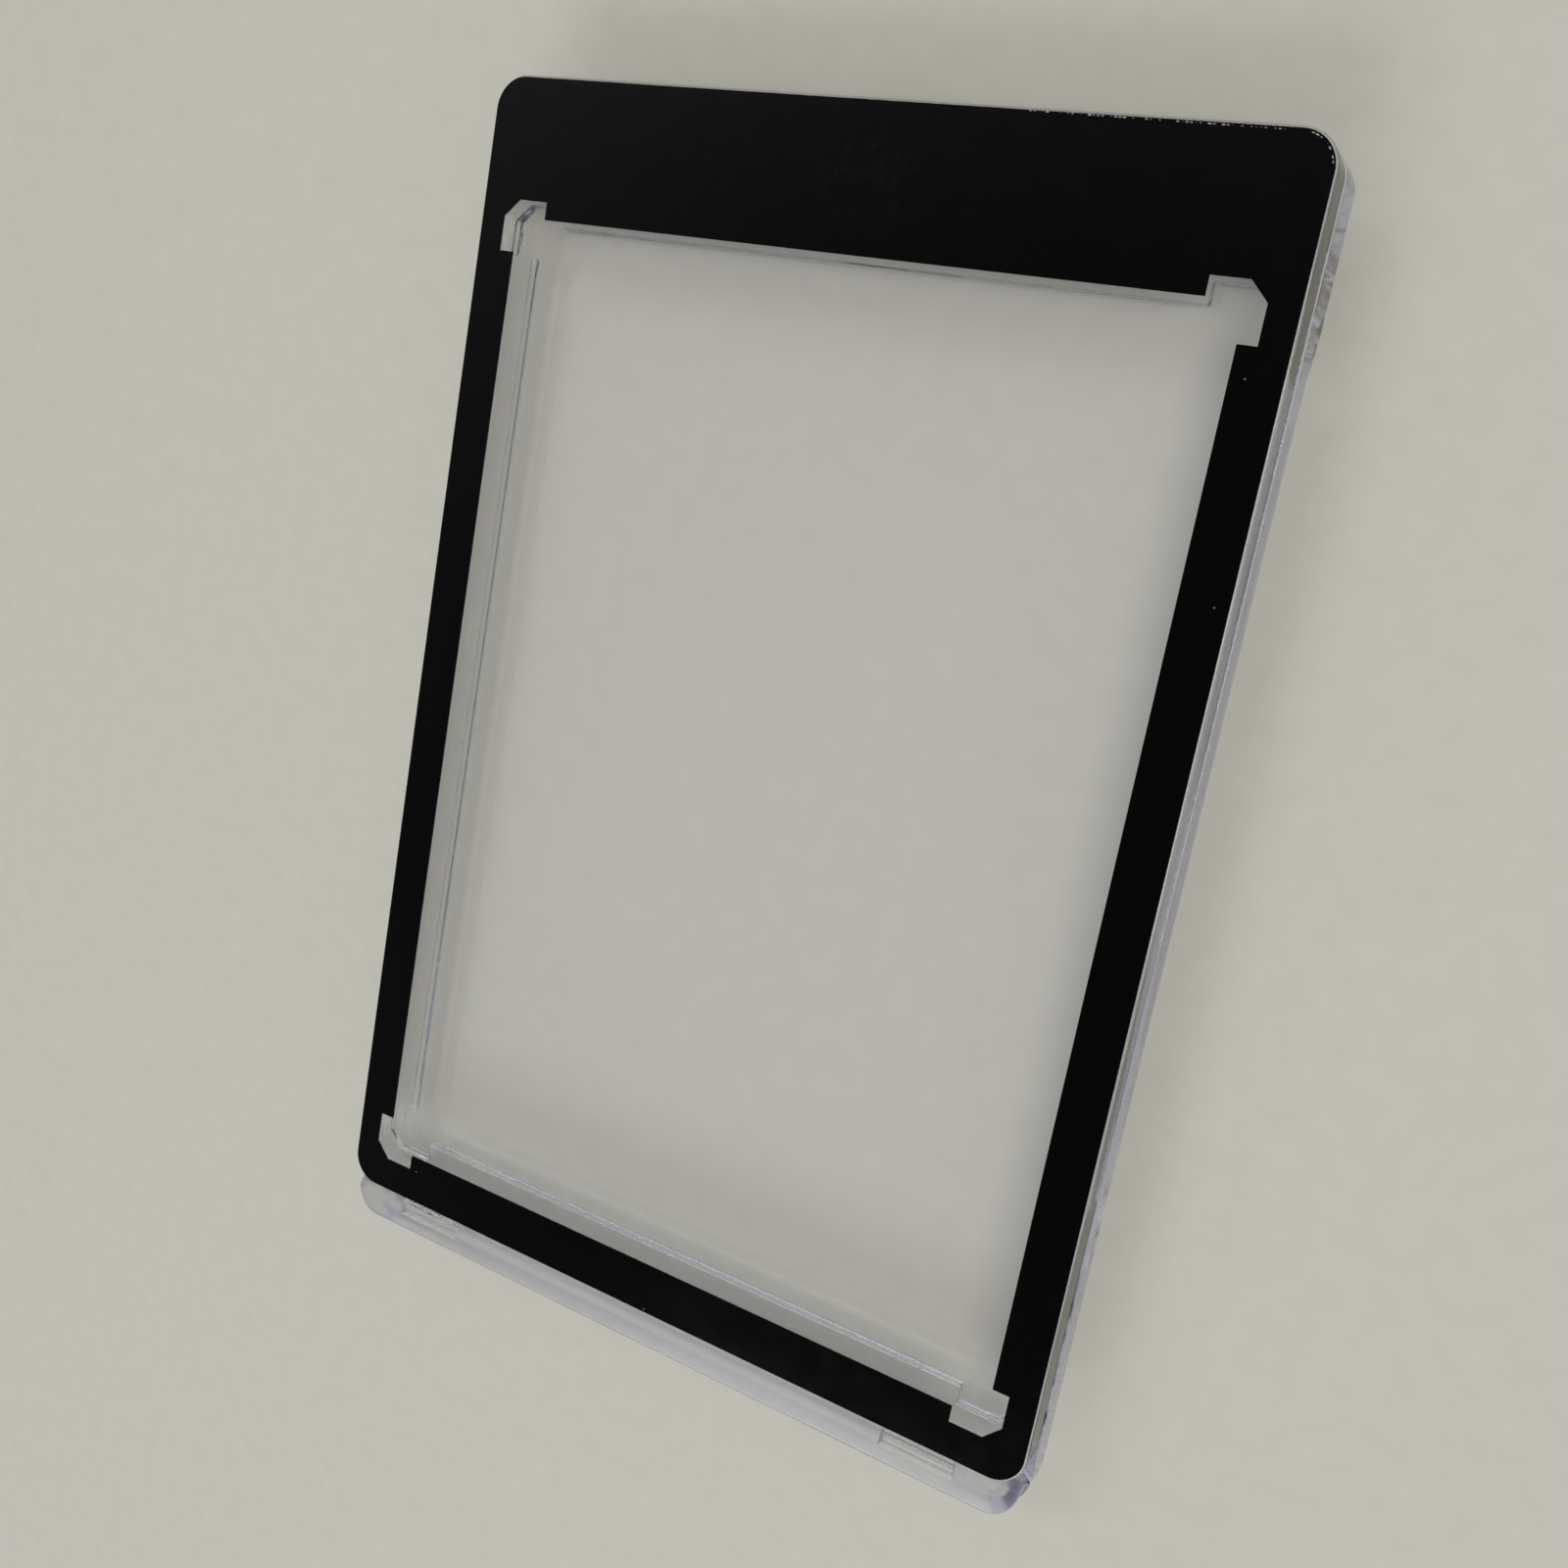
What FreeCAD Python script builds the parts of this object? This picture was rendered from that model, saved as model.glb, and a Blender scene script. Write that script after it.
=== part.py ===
import FreeCAD
import Part
import math
import os

# Magnetic holder for one trading card, in millimetres.
# A clear rear shell holds the card in a shallow pocket. A clear front cover nests in
# the shell's rim, turns on two knuckles in a slotted rail along the bottom, and is
# held shut by a pair of disc magnets behind its black border.
# X runs across the face, Y up it towards the magnets, and Z out of it. The back lies
# on Z = 0, and the origin is the middle of that footprint. The cover is closed.

# Card, the standard size that everything else is built round
card_width = 63.5
card_length = 88.9
card_thickness = 0.89

# Card pocket in the rear shell: play on each side, at each end and in depth
pocket_play_side = 0.35
pocket_play_end = 0.475
pocket_play_depth = 0.06

# Rounding of the pocket's upright corners, its rim and the foot of its wall
pocket_corner_round = 0.15
pocket_rim_round = 0.2
pocket_foot_round = 0.4

# Corner reliefs of the pocket, which keep the card's corners clear of its walls
relief_reach_side = 2.35
relief_reach_end = 1.7
relief_run = 2.8
relief_chamfer = 1.5

# Window of the black border, a little larger than the pocket behind it
window_margin_side = 0.5
window_margin_top = 0.2
window_margin_bottom = 0.5
notch_reach = 1.5
notch_run = 3.0
notch_chamfer = 1.5

# Black border: its bands round the window, its outer corners and its layer
band_side = 3.9
band_top = 11.8
band_bottom = 4.65
border_corner = 2.75
border_thickness = 0.12
border_inset = 0.2

# Front cover: its plate, the rounding of its front edge, and the field on its back
# that laps into the rear shell
cover_plate = 3.8
cover_edge_round = 0.18
lap_depth = 0.8
lap_inset = 1.6

# Rear shell: plastic behind the card, how far it stands out round the cover, its
# two bottom corners, and the clearances to the cover
rear_wall = 2.63
shell_ledge = 0.1
shell_low_corner = 3.6
lap_clearance = 0.15
parting_gap = 0.1
face_gap = 0.1

# Bevel round the back, which runs out below a square grip at each top corner
bevel = 1.2
grip_length = 12.75
bevel_runout = 4.0

# Hinge rail along the rear shell's bottom edge
rail_setback = 1.0
rail_round = 1.5
rail_gap = 0.25
rail_below_axis = 2.2
rail_end_inset = 0.3
rail_inner_corner = 0.3
rail_lower_round = 0.5

# Hinge lugs of the cover and the slots that they snap into
knuckle_radius = 1.0
knuckle_clearance = 0.06
neck_thickness = 1.0
lug_width = 6.6
lug_spacing = 54.4
lug_end_clearance = 0.2
slot_reach = 0.65

# Disc magnets in blind pockets in the middle of the top band
magnet_radius = 3.0
magnet_thickness = 2.5
magnet_clearance = 0.05

# Heights, from the back to the front
pocket_floor_z = rear_wall
shell_inner_z = pocket_floor_z + card_thickness + pocket_play_depth
field_z = shell_inner_z + face_gap
cover_edge_z = field_z + lap_depth
rim_z = cover_edge_z - parting_gap
cover_front_z = field_z + cover_plate
face_z = cover_front_z + border_thickness
rail_z = face_z - rail_setback
hinge_z = rail_z - rail_round

# Half widths, from the card outwards
pocket_half = card_width / 2 + pocket_play_side
window_half = pocket_half + window_margin_side
border_half = window_half + band_side
cover_half = border_half + border_inset
shell_half = cover_half + shell_ledge
rail_half = shell_half - rail_end_inset

# Places along Y, from the bottom of the rail upwards
pocket_length = card_length + 2 * pocket_play_end
window_length = window_margin_bottom + pocket_length + window_margin_top
border_length = band_bottom + window_length + band_top
cover_length = border_length + 2 * border_inset
overall_length = rail_below_axis + rail_round + rail_gap + cover_length + shell_ledge
shell_low_y = -overall_length / 2
shell_high_y = overall_length / 2
hinge_y = shell_low_y + rail_below_axis
rail_high_y = hinge_y + rail_round
cover_low_y = rail_high_y + rail_gap
cover_high_y = cover_low_y + cover_length
border_low_y = cover_low_y + border_inset
border_high_y = cover_high_y - border_inset
window_low_y = border_low_y + band_bottom
window_high_y = border_high_y - band_top
pocket_low_y = window_low_y + window_margin_bottom
pocket_high_y = window_high_y - window_margin_top
magnet_y = window_high_y + band_top / 2

# Corner radii, struck from the same centres as the border's, and the rail's, which
# runs into the shell's corner at the bottom
cover_corner = border_corner + border_inset
shell_corner = cover_corner + shell_ledge
field_corner = cover_corner - lap_inset
rail_end_corner = shell_low_corner - rail_end_inset

# How near an edge has to lie to a plane to count as in it
in_plane = 1e-4


def upright_edges(shape):
    """The edges that run straight up a flat prism."""
    height = shape.BoundBox.ZLength
    return [edge for edge in shape.Edges if edge.BoundBox.ZLength > height / 2]


def edges_at(shape, z):
    """The edges of a shape that lie in the plane at height z."""
    found = []
    for edge in shape.Edges:
        box = edge.BoundBox
        if abs(box.ZMin - z) < in_plane and abs(box.ZMax - z) < in_plane:
            found.append(edge)
    return found


def rounded_plate(half_width, y_low, y_high, z_low, z_high, corner, low_corner=None):
    """A flat plate, centred across X, with its four upright edges rounded.

    low_corner is the radius of the two bottom corners, where it isn't corner.
    """
    start = FreeCAD.Vector(-half_width, y_low, z_low)
    plate = Part.makeBox(2 * half_width, y_high - y_low, z_high - z_low, start)
    middle_y = (y_low + y_high) / 2
    high = [edge for edge in upright_edges(plate) if edge.BoundBox.YMin > middle_y]
    plate = plate.makeFillet(corner, high)
    low = [edge for edge in upright_edges(plate) if edge.BoundBox.YMax < y_low + in_plane]
    return plate.makeFillet(low_corner or corner, low)


def notched_corner(half_width, y_edge, upward, reach_side, reach_end, run, chamfer):
    """The outline round one notched corner on the +X side, from its long side to its end.

    upward is 1 for a corner at the top of the opening and -1 for one at the bottom.
    """
    side_y = y_edge - upward * run
    end_y = y_edge + upward * reach_end
    outer_x = half_width + reach_side
    inner_x = half_width - run
    return [
        (half_width, side_y),
        (outer_x, side_y),
        (outer_x, end_y - upward * chamfer),
        (outer_x - chamfer, end_y),
        (inner_x, end_y),
        (inner_x, y_edge),
    ]


def notched_opening(half_width, y_low, y_high, z_low, z_high, reach_side, reach_end, run, chamfer):
    """A prism with the outline of a rectangle whose corners step outwards."""
    top = notched_corner(half_width, y_high, 1, reach_side, reach_end, run, chamfer)
    bottom = notched_corner(half_width, y_low, -1, reach_side, reach_end, run, chamfer)
    right = bottom[::-1] + top
    left = [(-x, y) for x, y in right[::-1]]
    points = [FreeCAD.Vector(x, y, z_low) for x, y in right + left]
    outline = Part.makePolygon(points + points[:1])
    return Part.Face(outline).extrude(FreeCAD.Vector(0, 0, z_high - z_low))


def cylinder_along_x(radius, x_low, x_high):
    """A cylinder on the hinge axis."""
    start = FreeCAD.Vector(x_low, hinge_y, hinge_z)
    return Part.makeCylinder(radius, x_high - x_low, start, FreeCAD.Vector(1, 0, 0))


def disc(radius, z_low, thickness):
    """A flat disc in the middle of the top band, where the magnets are."""
    return Part.makeCylinder(radius, thickness, FreeCAD.Vector(0, magnet_y, z_low))


def bevel_waste():
    """What the bevel takes off the back: the sides and the bottom, up to the grips."""
    far_y = shell_high_y + shell_corner + bevel
    block = rounded_plate(
        shell_half, shell_low_y, far_y, 0, 2 * bevel, shell_corner, shell_low_corner
    )
    bevelled = block.makeChamfer(bevel, edges_at(block, 0))
    grip_low_y = shell_high_y - grip_length
    section = [
        (shell_low_y - bevel, -bevel),
        (grip_low_y + bevel_runout, -bevel),
        (grip_low_y - 2 * bevel_runout, 2 * bevel),
        (shell_low_y - bevel, 2 * bevel),
    ]
    points = [FreeCAD.Vector(-2 * shell_half, y, z) for y, z in section]
    below_grips = Part.Face(Part.makePolygon(points + points[:1]))
    below_grips = below_grips.extrude(FreeCAD.Vector(4 * shell_half, 0, 0))
    return block.cut(bevelled).common(below_grips)


def hinge_rail():
    """The rail, rounded about the hinge axis so that the cover swings past it."""
    quarter = math.cos(math.pi / 4)
    lower = [
        FreeCAD.Vector(0, shell_low_y, shell_inner_z),
        FreeCAD.Vector(0, shell_low_y, rail_z - rail_lower_round),
        FreeCAD.Vector(0, shell_low_y + rail_lower_round * (1 - quarter),
                       rail_z - rail_lower_round * (1 - quarter)),
        FreeCAD.Vector(0, shell_low_y + rail_lower_round, rail_z),
    ]
    upper = [
        FreeCAD.Vector(0, hinge_y, rail_z),
        FreeCAD.Vector(0, hinge_y + rail_round * quarter, hinge_z + rail_round * quarter),
        FreeCAD.Vector(0, rail_high_y, hinge_z),
        FreeCAD.Vector(0, rail_high_y, shell_inner_z),
    ]
    section = Part.Wire([
        Part.makeLine(lower[0], lower[1]),
        Part.Arc(lower[1], lower[2], lower[3]).toShape(),
        Part.makeLine(lower[3], upper[0]),
        Part.Arc(upper[0], upper[1], upper[2]).toShape(),
        Part.makeLine(upper[2], upper[3]),
        Part.makeLine(upper[3], lower[0]),
    ])
    profile = Part.Face(section)
    profile.translate(FreeCAD.Vector(-shell_half, 0, 0))
    bar = profile.extrude(FreeCAD.Vector(2 * shell_half, 0, 0))
    return bar.common(rail_plan())


def rail_plan():
    """The rail's outline from the front: its end corners, and small ones inside."""
    start = FreeCAD.Vector(-rail_half, shell_low_y, shell_inner_z)
    plan = Part.makeBox(2 * rail_half, rail_high_y - shell_low_y, face_z - shell_inner_z, start)
    outer = [edge for edge in upright_edges(plan) if edge.BoundBox.YMin < hinge_y]
    plan = plan.makeFillet(rail_end_corner, outer)
    inner = [
        edge
        for edge in upright_edges(plan)
        if abs(edge.BoundBox.YMin - rail_high_y) < in_plane
    ]
    return plan.makeFillet(rail_inner_corner, inner)


def hinge_slot(side):
    """One slot of the rail: open to the front and the cover, with a round seat."""
    width = lug_width + 2 * lug_end_clearance
    x_low = side * lug_spacing / 2 - width / 2
    start = FreeCAD.Vector(x_low, hinge_y - slot_reach, hinge_z - slot_reach)
    depth = face_z - hinge_z + slot_reach
    length = cover_low_y - hinge_y + slot_reach
    channel = Part.makeBox(width, length, depth, start)
    seat = cylinder_along_x(knuckle_radius + knuckle_clearance, x_low, x_low + width)
    return channel.fuse(seat)


def hinge_lug(side):
    """One lug of the cover: a neck out of its bottom face, ending in a knuckle."""
    x_low = side * lug_spacing / 2 - lug_width / 2
    start = FreeCAD.Vector(x_low, hinge_y, hinge_z - neck_thickness / 2)
    root = border_low_y - hinge_y
    neck = Part.makeBox(lug_width, root, neck_thickness, start)
    return neck.fuse(cylinder_along_x(knuckle_radius, x_low, x_low + lug_width))


def make_card_pocket():
    """What the pocket takes out of the shell, up to its rim."""
    pocket = notched_opening(
        pocket_half,
        pocket_low_y,
        pocket_high_y,
        pocket_floor_z,
        shell_inner_z,
        relief_reach_side,
        relief_reach_end,
        relief_run,
        relief_chamfer,
    )
    pocket = pocket.makeFillet(pocket_corner_round, upright_edges(pocket))
    return pocket.makeFillet(pocket_foot_round, edges_at(pocket, pocket_floor_z))


def pocket_rim_edges(shell):
    """The edges round the top of the card pocket."""
    reach_x = pocket_half + relief_reach_side + in_plane
    low_y = pocket_low_y - relief_reach_end - in_plane
    high_y = pocket_high_y + relief_reach_end + in_plane
    found = []
    for edge in edges_at(shell, shell_inner_z):
        box = edge.BoundBox
        across = -reach_x < box.XMin and box.XMax < reach_x
        if across and low_y < box.YMin and box.YMax < high_y:
            found.append(edge)
    return found


def make_rear_shell():
    """The back half: plate, rim, card pocket, magnet pocket, bevel and hinge rail."""
    shell = rounded_plate(
        shell_half, shell_low_y, shell_high_y, 0, rim_z, shell_corner, shell_low_corner
    )
    shell = shell.cut(bevel_waste())
    shell = shell.fuse(hinge_rail())
    grow = lap_clearance - lap_inset
    nest = rounded_plate(
        cover_half + grow,
        cover_low_y - grow,
        cover_high_y + grow,
        shell_inner_z,
        cover_front_z,
        field_corner + lap_clearance,
    )
    magnet_pocket = disc(
        magnet_radius + magnet_clearance,
        shell_inner_z - magnet_thickness,
        magnet_thickness,
    )
    shell = shell.cut([nest, magnet_pocket, hinge_slot(-1), hinge_slot(1)])
    shell = shell.cut(make_card_pocket())
    return shell.makeFillet(pocket_rim_round, pocket_rim_edges(shell)).removeSplitter()


def make_front_cover():
    """The front half: plate, the field that nests in the rim, magnet pocket and lugs."""
    plate = rounded_plate(
        cover_half,
        cover_low_y,
        cover_high_y,
        cover_edge_z,
        cover_front_z,
        cover_corner,
    )
    plate = plate.makeFillet(cover_edge_round, edges_at(plate, cover_front_z))
    field = rounded_plate(
        cover_half - lap_inset,
        cover_low_y + lap_inset,
        cover_high_y - lap_inset,
        field_z,
        cover_edge_z,
        field_corner,
    )
    cover = plate.fuse([field, hinge_lug(-1), hinge_lug(1)])
    cover = cover.cut(disc(magnet_radius + magnet_clearance, field_z, magnet_thickness))
    return cover.removeSplitter()


def make_black_border():
    """The opaque layer on the cover's front, with its notched window."""
    layer = rounded_plate(
        border_half,
        border_low_y,
        border_high_y,
        cover_front_z,
        face_z,
        border_corner,
    )
    window = notched_opening(
        window_half,
        window_low_y,
        window_high_y,
        cover_front_z,
        face_z,
        notch_reach,
        notch_reach,
        notch_run,
        notch_chamfer,
    )
    return layer.cut(window)


def make_front_magnet():
    """The disc in the cover, seated on the top of its pocket."""
    return disc(magnet_radius, field_z, magnet_thickness)


def make_rear_magnet():
    """The disc in the rear shell, seated on the floor of its pocket."""
    return disc(magnet_radius, shell_inner_z - magnet_thickness, magnet_thickness)


def main():
    os.makedirs("parts", exist_ok=True)
    pieces = {
        "rear_shell": make_rear_shell(),
        "front_cover": make_front_cover(),
        "black_border": make_black_border(),
        "front_magnet": make_front_magnet(),
        "rear_magnet": make_rear_magnet(),
    }
    for name, piece in pieces.items():
        solid = piece.Solids[0]
        solid.exportStep("parts/" + name + ".step")
        box = solid.BoundBox
        print(name, "solids", len(piece.Solids), "valid", solid.isValid())
        print("  volume", round(solid.Volume, 2))
        print("  x", round(box.XMin, 3), round(box.XMax, 3))
        print("  y", round(box.YMin, 3), round(box.YMax, 3))
        print("  z", round(box.ZMin, 3), round(box.ZMax, 3))


main()
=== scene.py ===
import math

import bpy
from mathutils import Matrix, Vector


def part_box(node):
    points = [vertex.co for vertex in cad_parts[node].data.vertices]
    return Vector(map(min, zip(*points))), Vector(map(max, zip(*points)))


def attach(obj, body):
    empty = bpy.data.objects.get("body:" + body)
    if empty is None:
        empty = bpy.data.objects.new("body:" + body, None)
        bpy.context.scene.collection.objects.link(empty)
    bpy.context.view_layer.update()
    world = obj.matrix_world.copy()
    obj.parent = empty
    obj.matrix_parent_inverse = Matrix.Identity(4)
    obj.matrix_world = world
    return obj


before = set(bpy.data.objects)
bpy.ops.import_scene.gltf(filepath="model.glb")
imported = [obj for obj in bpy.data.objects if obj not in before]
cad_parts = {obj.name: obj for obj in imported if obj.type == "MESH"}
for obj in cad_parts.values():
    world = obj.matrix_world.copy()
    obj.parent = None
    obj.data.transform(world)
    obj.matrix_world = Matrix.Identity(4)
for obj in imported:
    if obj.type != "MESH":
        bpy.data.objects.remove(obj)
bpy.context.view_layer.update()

MM = 0.001


# Colours and node trees

def linear(code):
    """An sRGB hex colour as linear red, green, blue and alpha."""
    levels = [int(code[i:i + 2], 16) / 255 for i in (1, 3, 5)]
    return tuple(
        v / 12.92 if v <= 0.04045 else ((v + 0.055) / 1.055) ** 2.4 for v in levels
    ) + (1.0,)


def add(tree, kind, settings=None, sockets=None):
    """Adds one node. settings are its attributes. sockets maps an input to its value,
    or to the output of another node that is linked to it."""
    node = tree.nodes.new(kind)
    for name, value in (settings or {}).items():
        setattr(node, name, value)
    for name, value in (sockets or {}).items():
        if isinstance(value, bpy.types.NodeSocket):
            tree.links.new(value, node.inputs[name])
        else:
            node.inputs[name].default_value = value
    return node


def new_material(name):
    """An empty material with its output node."""
    material = bpy.data.materials.new(name)
    material.use_nodes = True
    tree = material.node_tree
    tree.nodes.clear()
    return material, tree, add(tree, "ShaderNodeOutputMaterial")


# Inputs and outputs of a Mix node that are its colours. They share their names with
# those for numbers, so they go by their place on the node
MIX_FIRST, MIX_SECOND, MIXED = 6, 7, 2


# Materials

POLYSTYRENE_IOR = 1.59


def spark_eroded(tree, place, satin_below, satin_over):
    """Roughness of plastic that was moulded in a spark eroded part of the tool, where
    it is below satin_below on Y and over satin_over on Z. It is 0 everywhere else."""
    from_corner = add(tree, "ShaderNodeMapping", sockets={
        "Vector": place.outputs["Object"],
        "Location": (0, -satin_below, -satin_over),
    })
    axes = add(tree, "ShaderNodeSeparateXYZ", sockets={
        "Vector": from_corner.outputs["Vector"],
    })
    below = add(tree, "ShaderNodeMath", {"operation": "LESS_THAN"}, {
        0: axes.outputs["Y"],
        1: 0.0,
    })
    over = add(tree, "ShaderNodeMath", {"operation": "GREATER_THAN"}, {
        0: axes.outputs["Z"],
        1: 0.0,
    })
    here = add(tree, "ShaderNodeMath", {"operation": "MULTIPLY"}, {
        0: below.outputs["Value"],
        1: over.outputs["Value"],
    })
    # Sparks leave pits 0.03 mm wide, too fine to show: their drifts are 0.5 mm wide
    drifts = add(tree, "ShaderNodeTexNoise", sockets={
        "Vector": place.outputs["Object"],
        "Scale": 1 / (0.5 * MM),
        "Detail": 1.0,
    })
    pitted = add(tree, "ShaderNodeMapRange", sockets={
        "Value": drifts.outputs["Fac"],
        "To Min": 0.28,
        "To Max": 0.42,
    })
    satin = add(tree, "ShaderNodeMath", {"operation": "MULTIPLY"}, {
        0: pitted.outputs["Result"],
        1: here.outputs["Value"],
    })
    return satin.outputs["Value"]


def clear_polystyrene(name, satin_below=None, satin_over=None):
    """Clear polystyrene, injection moulded in a polished tool: bends light strongly at
    its edges, mirrors lamps sharply, and is faintly lilac where it is seen edge on.
    Its faces swell a little where the melt flowed, and handling has left hairlines.
    Below satin_below on Y and over satin_over on Z the tool was spark eroded, which
    gives a soft pale band that blurs what is behind it."""
    material, tree, output = new_material(name)
    place = add(tree, "ShaderNodeTexCoord")
    swell = add(tree, "ShaderNodeTexNoise", sockets={
        "Vector": place.outputs["Object"],
        "Scale": 1 / (8 * MM),
        "Detail": 0.0,
    })
    swollen = add(tree, "ShaderNodeBump", sockets={
        "Height": swell.outputs["Fac"],
        "Strength": 1.0,
        "Distance": 0.008 * MM,
    })
    # Hairlines 12 mm long. Real ones are 0.02 mm wide, too fine to show: these are 0.1 mm
    lengthwise = add(tree, "ShaderNodeMapping", {"vector_type": "TEXTURE"}, {
        "Vector": place.outputs["Object"],
        "Rotation": (0, 0, math.radians(34)),
        "Scale": (12 * MM, 0.1 * MM, 12 * MM),
    })
    streaks = add(tree, "ShaderNodeTexNoise", sockets={
        "Vector": lengthwise.outputs["Vector"],
        "Scale": 1.0,
        "Detail": 0.0,
    })
    hairlines = add(tree, "ShaderNodeMapRange", sockets={
        "Value": streaks.outputs["Fac"],
        "From Min": 0.70,
        "From Max": 0.80,
        "To Min": 0.02,
        "To Max": 0.08,
    })
    roughness = hairlines.outputs["Result"]
    if satin_below is not None:
        rougher = add(tree, "ShaderNodeMath", {"operation": "MAXIMUM"}, {
            0: spark_eroded(tree, place, satin_below, satin_over),
            1: roughness,
        })
        roughness = rougher.outputs["Value"]
    plastic = add(tree, "ShaderNodeBsdfPrincipled", sockets={
        "Base Color": linear("#FFFFFF"),
        "Roughness": roughness,
        "IOR": POLYSTYRENE_IOR,
        "Transmission Weight": 1.0,
        "Normal": swollen.outputs["Normal"],
    })
    open_to_light = add(tree, "ShaderNodeBsdfTransparent", sockets={
        "Color": linear("#FFFFFF"),
    })
    path = add(tree, "ShaderNodeLightPath")
    for_diffuse = add(tree, "ShaderNodeMixShader", sockets={
        "Fac": path.outputs["Is Diffuse Ray"],
        1: plastic.outputs["BSDF"],
        2: open_to_light.outputs["BSDF"],
    })
    for_lamps = add(tree, "ShaderNodeMixShader", sockets={
        "Fac": path.outputs["Is Shadow Ray"],
        1: for_diffuse.outputs["Shader"],
        2: open_to_light.outputs["BSDF"],
    })
    tint = add(tree, "ShaderNodeVolumeAbsorption", sockets={
        "Color": linear("#C9C9EE"),
        "Density": 7.0,
    })
    tree.links.new(for_lamps.outputs["Shader"], output.inputs["Surface"])
    tree.links.new(tint.outputs["Volume"], output.inputs["Volume"])
    return material


def black_print():
    """Gloss black ink, screen printed: nearly black, with a wet gloss that ripples as
    thick ink does, a few specks of dust caught in it, and a patch over the closure
    that fingers have dulled."""
    material, tree, output = new_material("black_ink_screen_printed")
    place = add(tree, "ShaderNodeTexCoord")
    ripple = add(tree, "ShaderNodeTexNoise", sockets={
        "Vector": place.outputs["Object"],
        "Scale": 1 / (0.9 * MM),
        "Detail": 1.0,
    })
    rippled = add(tree, "ShaderNodeBump", sockets={
        "Height": ripple.outputs["Fac"],
        "Strength": 1.0,
        "Distance": 0.003 * MM,
    })
    mottling = add(tree, "ShaderNodeTexNoise", sockets={
        "Vector": place.outputs["Object"],
        "Scale": 1 / (2.4 * MM),
        "Detail": 3.0,
    })
    gloss = add(tree, "ShaderNodeMapRange", sockets={
        "Value": mottling.outputs["Fac"],
        "From Min": 0.35,
        "From Max": 0.65,
        "To Min": 0.09,
        "To Max": 0.12,
    })
    # The dulled patch, 13 by 10 mm, broken up by smears 0.6 mm wide and 2 mm long
    patch_middle = (1.5 * MM, 49.5 * MM, 7.6 * MM)
    patch_reach = (6.5 * MM, 5 * MM, 5 * MM)
    over_closure = add(tree, "ShaderNodeMapping", {"vector_type": "TEXTURE"}, {
        "Vector": place.outputs["Object"],
        "Location": patch_middle,
        "Scale": patch_reach,
    })
    off_middle = add(tree, "ShaderNodeVectorMath", {"operation": "LENGTH"}, {
        0: over_closure.outputs["Vector"],
    })
    patch = add(tree, "ShaderNodeMapRange", {"interpolation_type": "SMOOTHSTEP"}, {
        "Value": off_middle.outputs["Value"],
        "From Min": 0.5,
        "From Max": 1.0,
        "To Min": 1.0,
        "To Max": 0.0,
    })
    smear_lay = add(tree, "ShaderNodeMapping", {"vector_type": "TEXTURE"}, {
        "Vector": place.outputs["Object"],
        "Rotation": (0, 0, math.radians(62)),
        "Scale": (2 * MM, 0.6 * MM, 2 * MM),
    })
    smears = add(tree, "ShaderNodeTexNoise", sockets={
        "Vector": smear_lay.outputs["Vector"],
        "Scale": 1.0,
        "Detail": 2.0,
    })
    smeared = add(tree, "ShaderNodeMapRange", sockets={
        "Value": smears.outputs["Fac"],
        "From Min": 0.45,
        "From Max": 0.62,
        "To Min": 0.0,
        "To Max": 0.05,
    })
    dulled = add(tree, "ShaderNodeMath", {"operation": "MULTIPLY_ADD"}, {
        0: smeared.outputs["Result"],
        1: patch.outputs["Result"],
        2: gloss.outputs["Result"],
    })
    # Dust, one round speck in every fourth cell
    cell = 9 * MM
    speck_radius = 0.075 * MM
    share_without = 0.75
    cells = add(tree, "ShaderNodeTexVoronoi", {"voronoi_dimensions": "2D"}, {
        "Vector": place.outputs["Object"],
        "Scale": 1 / cell,
    })
    near_middle = add(tree, "ShaderNodeMath", {"operation": "LESS_THAN"}, {
        0: cells.outputs["Distance"],
        1: speck_radius / cell,
    })
    drawn = add(tree, "ShaderNodeSeparateColor", sockets={
        "Color": cells.outputs["Color"],
    })
    picked = add(tree, "ShaderNodeMath", {"operation": "GREATER_THAN"}, {
        0: drawn.outputs["Red"],
        1: share_without,
    })
    speck = add(tree, "ShaderNodeMath", {"operation": "MULTIPLY"}, {
        0: near_middle.outputs["Value"],
        1: picked.outputs["Value"],
    })
    pigment = add(tree, "ShaderNodeMix", {"data_type": "RGBA"}, {
        "Factor": speck.outputs["Value"],
        MIX_FIRST: linear("#050505"),
        MIX_SECOND: linear("#6B6A66"),
    })
    ink = add(tree, "ShaderNodeBsdfPrincipled", sockets={
        "Base Color": pigment.outputs[MIXED],
        "Roughness": dulled.outputs["Value"],
        "IOR": 1.5,
        "Normal": rippled.outputs["Normal"],
    })
    tree.links.new(ink.outputs["BSDF"], output.inputs["Surface"])
    return material


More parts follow.
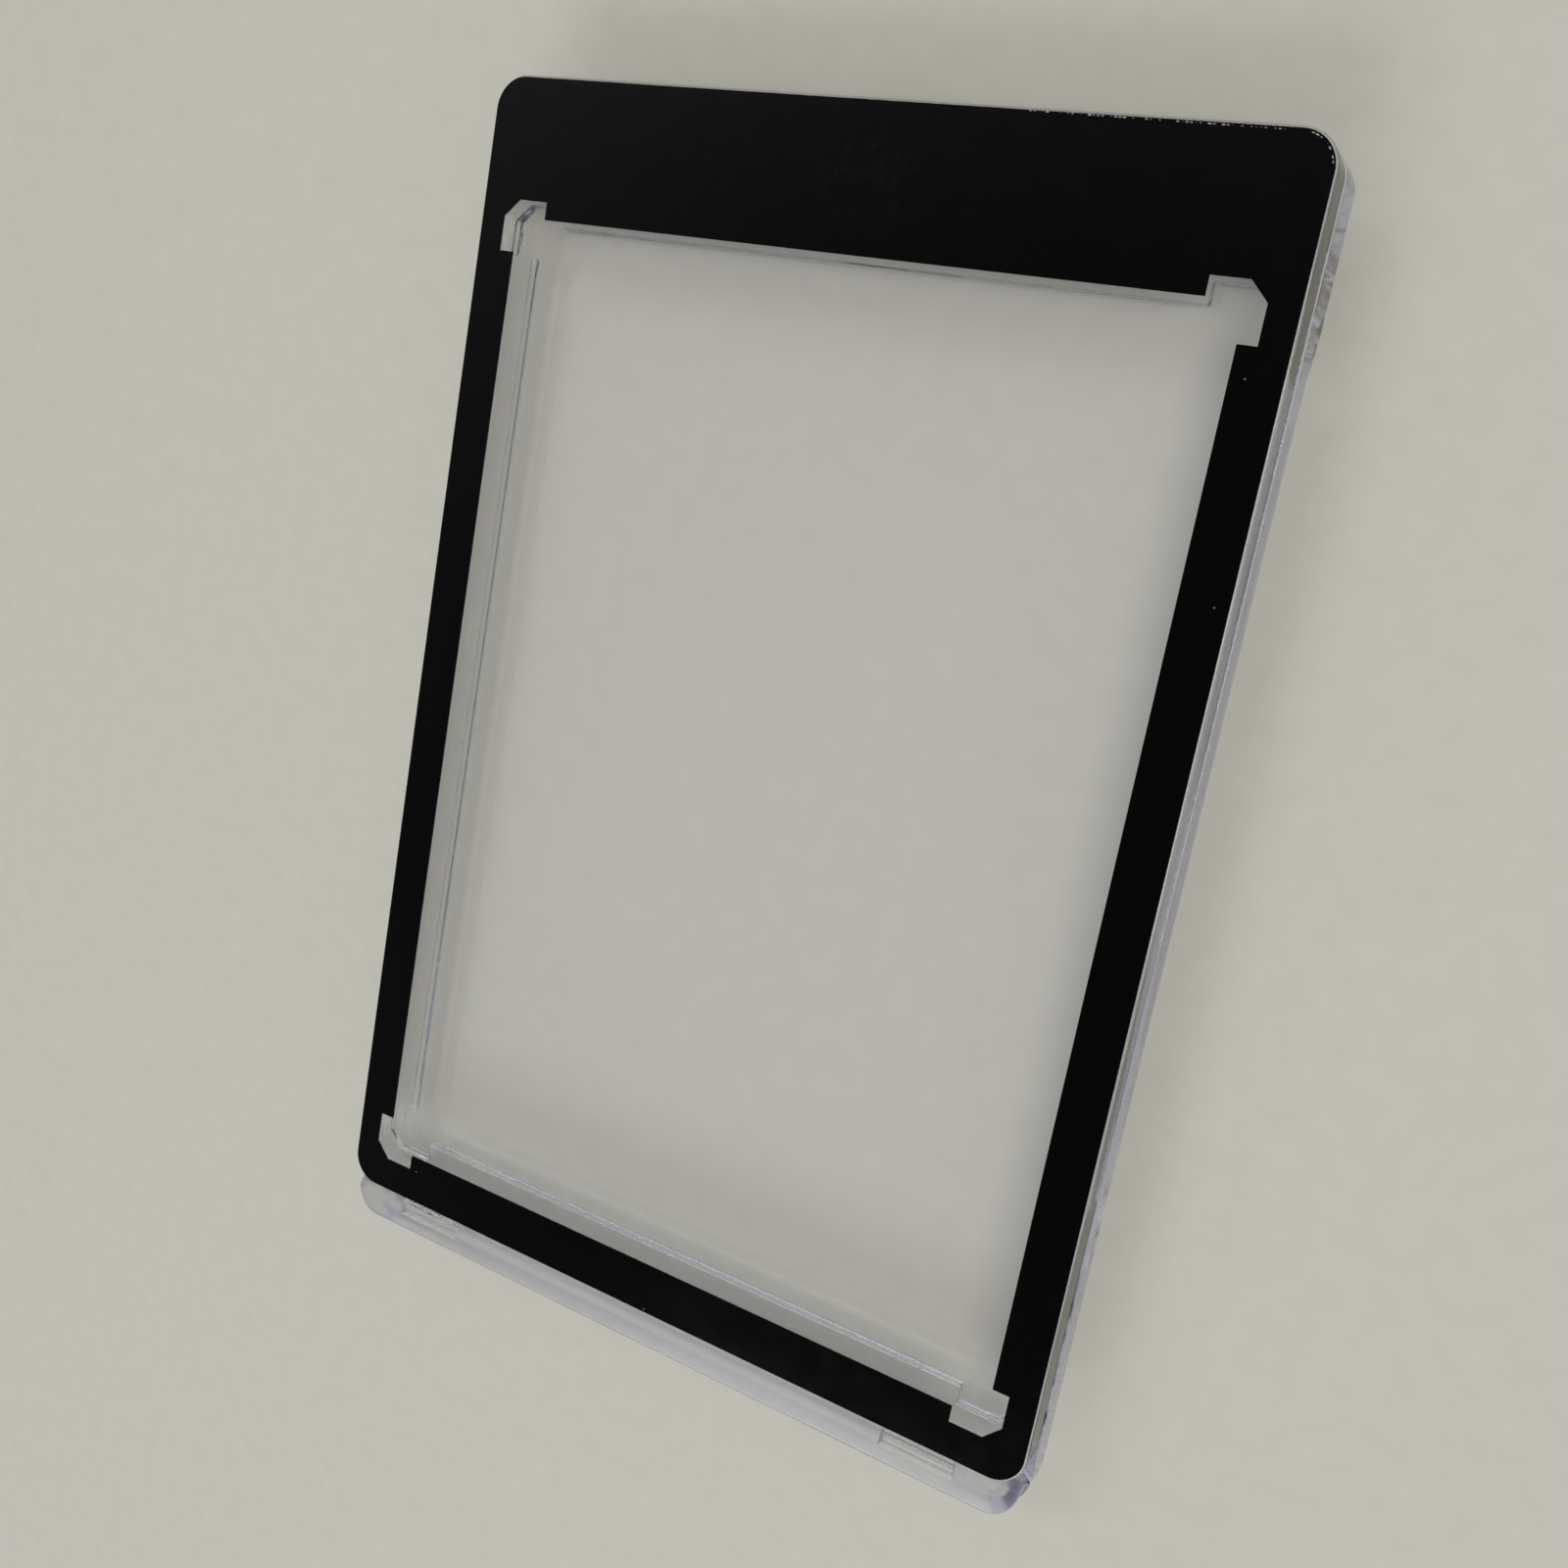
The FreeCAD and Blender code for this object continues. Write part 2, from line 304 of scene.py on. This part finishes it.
def nickel_plate():
    """Nickel, barrel plated over a sintered magnet: warm grey satin metal, crossed by
    the fine scratches that the discs give each other in the barrel."""
    material, tree, output = new_material("nickel_barrel_plated")
    place = add(tree, "ShaderNodeTexCoord")
    # Scratches 2 mm long. Real ones are 0.01 mm wide, too fine to show: these are 0.08 mm
    turns_in_degrees = (-65, -5, 55)
    scratches = []
    for turn in turns_in_degrees:
        laid = add(tree, "ShaderNodeMapping", {"vector_type": "TEXTURE"}, {
            "Vector": place.outputs["Object"],
            "Rotation": (0, 0, math.radians(turn)),
            "Scale": (2 * MM, 0.08 * MM, 2 * MM),
        })
        scratches.append(add(tree, "ShaderNodeTexNoise", sockets={
            "Vector": laid.outputs["Vector"],
            "Scale": 1.0,
            "Detail": 1.0,
        }))
    two = add(tree, "ShaderNodeMath", {"operation": "MAXIMUM"}, {
        0: scratches[0].outputs["Fac"],
        1: scratches[1].outputs["Fac"],
    })
    all_three = add(tree, "ShaderNodeMath", {"operation": "MAXIMUM"}, {
        0: two.outputs["Value"],
        1: scratches[2].outputs["Fac"],
    })
    satin = add(tree, "ShaderNodeMapRange", sockets={
        "Value": all_three.outputs["Value"],
        "From Min": 0.5,
        "From Max": 0.8,
        "To Min": 0.2,
        "To Max": 0.45,
    })
    grooved = add(tree, "ShaderNodeBump", {"invert": True}, {
        "Height": all_three.outputs["Value"],
        "Strength": 1.0,
        "Distance": 0.004 * MM,
    })
    metal = add(tree, "ShaderNodeBsdfPrincipled", sockets={
        "Base Color": linear("#B4AEA3"),
        "Metallic": 1.0,
        "Roughness": satin.outputs["Result"],
        "Normal": grooved.outputs["Normal"],
    })
    tree.links.new(metal.outputs["BSDF"], output.inputs["Surface"])
    return material


def chipped_polystyrene():
    """Clear polystyrene where the edge has chipped: its broken face scatters light, so
    it looks pale and frosted beside the ink."""
    material, tree, output = new_material("polystyrene_chipped")
    place = add(tree, "ShaderNodeTexCoord")
    grain = add(tree, "ShaderNodeTexNoise", sockets={
        "Vector": place.outputs["Object"],
        "Scale": 1 / (1.4 * MM),
        "Detail": 1.0,
    })
    frosting = add(tree, "ShaderNodeMix", {"data_type": "RGBA"}, {
        "Factor": grain.outputs["Fac"],
        MIX_FIRST: linear("#262624"),
        MIX_SECOND: linear("#BEBEBA"),
    })
    frosted = add(tree, "ShaderNodeBsdfPrincipled", sockets={
        "Base Color": frosting.outputs[MIXED],
        "Roughness": 0.45,
        "IOR": POLYSTYRENE_IOR,
    })
    tree.links.new(frosted.outputs["BSDF"], output.inputs["Surface"])
    return material


def pale_paper():
    """The floor: matt pale grey paper, a little uneven where its fibres lie thicker."""
    material, tree, output = new_material("pale_paper_floor")
    place = add(tree, "ShaderNodeTexCoord")
    fibres = add(tree, "ShaderNodeTexNoise", sockets={
        "Vector": place.outputs["Object"],
        "Scale": 1 / (2.5 * MM),
        "Detail": 3.0,
    })
    pulp = add(tree, "ShaderNodeMix", {"data_type": "RGBA"}, {
        "Factor": fibres.outputs["Fac"],
        MIX_FIRST: linear("#C2C0B5"),
        MIX_SECOND: linear("#CAC8BD"),
    })
    paper = add(tree, "ShaderNodeBsdfPrincipled", sockets={
        "Base Color": pulp.outputs[MIXED],
        "Roughness": 0.9,
        "Specular IOR Level": 0.1,
    })
    tree.links.new(paper.outputs["BSDF"], output.inputs["Surface"])
    return material


nickel = nickel_plate()
looks = {
    "rear_shell": clear_polystyrene(
        "clear_polystyrene_shell", satin_below=-51.7 * MM, satin_over=5.4 * MM
    ),
    "front_cover": clear_polystyrene("clear_polystyrene_cover"),
    "black_border": black_print(),
    "front_magnet": nickel,
    "rear_magnet": nickel,
}
for node, material in looks.items():
    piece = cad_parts[node]
    for material_slot in piece.material_slots:
        material_slot.material = material


# Chips along the print's edge, at its top right corner, where the cover has been knocked

def print_edge(start_x, corner_radius, first_inset, last_inset):
    """Points along the print's top edge, from start_x to the right, and round its
    corner to the right side, in metres. They start at first_inset from the edge, and
    are at last_inset from it round the corner."""
    _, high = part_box("black_border")
    corner_x = high[0] - corner_radius
    corner_y = high[1] - corner_radius
    reach = corner_radius - last_inset
    points = [(start_x, high[1] - first_inset, high[2])]
    steps = 12
    for step in range(steps + 1):
        angle = math.radians(90 - 90 * step / steps)
        points.append((
            corner_x + reach * math.cos(angle),
            corner_y + reach * math.sin(angle),
            high[2],
        ))
    return points


# Inputs and outputs of a Random Value node, by their place on it
LEAST, MOST, DRAWN_LENGTH, DRAWN_CHOICE = 2, 3, 1, 3


def chip_tree(material):
    """Geometry Nodes that break chips out along a line of points: a lump at every
    Spacing, less those that chance leaves out, each laid along the line with a length
    drawn at random."""
    tree = bpy.data.node_groups.new("chips_along_edge", "GeometryNodeTree")
    inputs = (
        ("Geometry", "NodeSocketGeometry"),
        ("Spacing", "NodeSocketFloat"),
        ("Share left out", "NodeSocketFloat"),
        ("Least length", "NodeSocketFloat"),
        ("Most length", "NodeSocketFloat"),
        ("Width to length", "NodeSocketFloat"),
        ("Height to length", "NodeSocketFloat"),
        ("Seed", "NodeSocketInt"),
    )
    for name, kind in inputs:
        tree.interface.new_socket(name, in_out="INPUT", socket_type=kind)
    tree.interface.new_socket(
        "Geometry", in_out="OUTPUT", socket_type="NodeSocketGeometry"
    )
    given = add(tree, "NodeGroupInput").outputs
    line = add(tree, "GeometryNodeMeshToCurve", sockets={"Mesh": given["Geometry"]})
    spots = add(tree, "GeometryNodeCurveToPoints", {"mode": "LENGTH"}, {
        "Curve": line.outputs["Curve"],
        "Length": given["Spacing"],
    })
    missing = add(tree, "FunctionNodeRandomValue", {"data_type": "BOOLEAN"}, {
        "Probability": given["Share left out"],
        "Seed": given["Seed"],
    })
    thinned = add(tree, "GeometryNodeDeleteGeometry", {"domain": "POINT"}, {
        "Geometry": spots.outputs["Points"],
        "Selection": missing.outputs[DRAWN_CHOICE],
    })
    lump = add(tree, "GeometryNodeMeshIcoSphere", sockets={
        "Radius": 0.5,
        "Subdivisions": 2,
    })
    length = add(tree, "FunctionNodeRandomValue", {"data_type": "FLOAT"}, {
        LEAST: given["Least length"],
        MOST: given["Most length"],
        "Seed": given["Seed"],
    })
    width = add(tree, "ShaderNodeMath", {"operation": "MULTIPLY"}, {
        0: length.outputs[DRAWN_LENGTH],
        1: given["Width to length"],
    })
    height = add(tree, "ShaderNodeMath", {"operation": "MULTIPLY"}, {
        0: length.outputs[DRAWN_LENGTH],
        1: given["Height to length"],
    })
    size = add(tree, "ShaderNodeCombineXYZ", sockets={
        "X": length.outputs[DRAWN_LENGTH],
        "Y": width.outputs["Value"],
        "Z": height.outputs["Value"],
    })
    along = add(tree, "FunctionNodeAlignRotationToVector", {"axis": "X"}, {
        "Vector": spots.outputs["Tangent"],
    })
    chips = add(tree, "GeometryNodeInstanceOnPoints", sockets={
        "Points": thinned.outputs["Geometry"],
        "Instance": lump.outputs["Mesh"],
        "Rotation": along.outputs["Rotation"],
        "Scale": size.outputs["Vector"],
    })
    joined = add(tree, "GeometryNodeRealizeInstances", sockets={
        "Geometry": chips.outputs["Instances"],
    })
    painted = add(tree, "GeometryNodeSetMaterial", sockets={
        "Geometry": joined.outputs["Geometry"],
        "Material": material,
    })
    add(tree, "NodeGroupOutput", sockets={"Geometry": painted.outputs["Geometry"]})
    return tree


def edge_chips(name, points, sizes):
    """A plain mesh of chips along the points. sizes maps the tree's inputs to values."""
    path = bpy.data.meshes.new(name + "_path")
    path.from_pydata(points, [(i, i + 1) for i in range(len(points) - 1)], [])
    maker = bpy.data.objects.new(name + "_path", path)
    bpy.context.collection.objects.link(maker)
    tree = chip_tree(chipped_polystyrene())
    modifier = maker.modifiers.new("chips", "NODES")
    modifier.node_group = tree
    for socket in tree.interface.items_tree:
        if socket.in_out == "INPUT" and socket.name in sizes:
            modifier[socket.identifier] = sizes[socket.name]
    evaluated = maker.evaluated_get(bpy.context.evaluated_depsgraph_get())
    mesh = bpy.data.meshes.new_from_object(evaluated)
    mesh.name = name
    # The lumps bring a first material slot that is empty, and that no face uses
    mesh.materials.pop(index=0)
    bpy.data.objects.remove(maker)
    chips = bpy.data.objects.new(name, mesh)
    bpy.context.collection.objects.link(chips)
    return chips


knocked_edge = print_edge(
    start_x=13.6 * MM,
    corner_radius=2.75 * MM,
    first_inset=0.06 * MM,
    last_inset=0.18 * MM,
)
chips = edge_chips("print_edge_chips", knocked_edge, {
    "Spacing": 0.33 * MM,
    "Share left out": 0.4,
    "Least length": 0.05 * MM,
    "Most length": 0.32 * MM,
    "Width to length": 0.38,
    "Height to length": 0.06,
    "Seed": 7,
})
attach(chips, "cover")


# Floor, lamps, world and camera

def floor_sheet(half, height):
    """A flat square at the given height under the holder."""
    mesh = bpy.data.meshes.new("floor")
    corners = [(-half, -half), (half, -half), (half, half), (-half, half)]
    mesh.from_pydata([(x, y, height) for x, y in corners], [], [(0, 1, 2, 3)])
    sheet = bpy.data.objects.new("floor", mesh)
    bpy.context.collection.objects.link(sheet)
    sheet.data.materials.append(pale_paper())
    return sheet


# Just under the back, so that the two flat faces don't show through each other
floor = floor_sheet(half=3.0, height=-0.02 * MM)


def soft_box(name, place, width, height, power, colour):
    """A rectangular lamp, turned to face the middle of the holder's back, in metres and
    watts. It shows in what mirrors it, but not through the clear plastic, whose edges
    would turn white."""
    lamp = bpy.data.lights.new(name, "AREA")
    lamp.shape = "RECTANGLE"
    lamp.size = width
    lamp.size_y = height
    lamp.energy = power
    lamp.color = linear(colour)[:3]
    fixture = bpy.data.objects.new(name, lamp)
    bpy.context.collection.objects.link(fixture)
    fixture.location = place
    fixture.rotation_euler = (-Vector(place)).to_track_quat("-Z", "Y").to_euler()
    fixture.visible_transmission = False


soft_box(
    "window_light", (-0.10, 0.50, 0.60), width=0.75, height=0.42, power=0.3,
    colour="#F4F7FF",
)
soft_box(
    "strip_light", (-0.31, 0.43, 0.60), width=0.50, height=0.08, power=0.6,
    colour="#F4F7FF",
)
soft_box(
    "side_light", (0.34, -0.02, 0.84), width=0.45, height=0.45, power=2.5,
    colour="#FFFDF8",
)
soft_box(
    "front_light", (-0.10, -0.74, 0.56), width=0.6, height=0.35, power=2.6,
    colour="#F0F4FF",
)

# Pale room all round. Only what is mirrored off a surface meets the dark flag overhead,
# so the gloss black stays black while the clear plastic is lit from every side.
flag_direction = (-0.22, -0.25, 0.943)
flag_half_angle = math.radians(15)
flag_fade = math.radians(40)
room_level = 0.42
flag_level = 0.02
world = bpy.data.worlds.new("studio")
bpy.context.scene.world = world
world.use_nodes = True
room = world.node_tree
room.nodes.clear()
sky = add(room, "ShaderNodeTexCoord")
rays = add(room, "ShaderNodeLightPath")
toward_flag = add(room, "ShaderNodeVectorMath", {"operation": "DOT_PRODUCT"}, {
    0: sky.outputs["Generated"],
    1: flag_direction,
})
darkened = add(room, "ShaderNodeMapRange", {"interpolation_type": "SMOOTHSTEP"}, {
    "Value": toward_flag.outputs["Value"],
    "From Min": math.cos(flag_half_angle + flag_fade),
    "From Max": math.cos(flag_half_angle),
    "To Min": 0.0,
    "To Max": 1.0,
})
glossy = add(room, "ShaderNodeMath", {"operation": "MULTIPLY"}, {
    0: rays.outputs["Is Glossy Ray"],
    1: rays.outputs["Is Reflection Ray"],
})
mirrored = add(room, "ShaderNodeMath", {"operation": "MULTIPLY"}, {
    0: darkened.outputs["Result"],
    1: glossy.outputs["Value"],
})
brightness = add(room, "ShaderNodeMapRange", sockets={
    "Value": mirrored.outputs["Value"],
    "To Min": room_level,
    "To Max": flag_level,
})
pale_room = add(room, "ShaderNodeBackground", sockets={
    "Color": linear("#FFFFFF"),
    "Strength": brightness.outputs["Result"],
})
add(room, "ShaderNodeOutputWorld", sockets={"Surface": pale_room.outputs["Background"]})

# Where the camera stands, in mm, and the directions of its right, its up and its back
camera_place = Vector((58.86, 26.465, 121.54))
camera_right = Vector((0.86887, 0.17865, -0.46168))
camera_up = Vector((-0.25033, 0.96315, -0.09842))
camera_back = Vector((0.42709, 0.20108, 0.88157))
camera_data = bpy.data.cameras.new("camera")
camera_data.sensor_width = 36.0
camera_data.lens = 34.98
camera_data.clip_start = 0.01
camera = bpy.data.objects.new("camera", camera_data)
bpy.context.collection.objects.link(camera)
turn = Matrix((camera_right, camera_up, camera_back)).transposed()
camera.matrix_world = Matrix.Translation(camera_place * MM) @ turn.to_4x4()
bpy.context.scene.camera = camera
bpy.context.scene.view_settings.view_transform = "Standard"

# Light is mirrored about thirty times along the clear plates before it comes out at
# their ends. With so few lamps, picking one by the light tree only costs time.
light_paths = bpy.context.scene.cycles
light_paths.max_bounces = 48
light_paths.glossy_bounces = 40
light_paths.transmission_bounces = 40
light_paths.use_light_tree = False
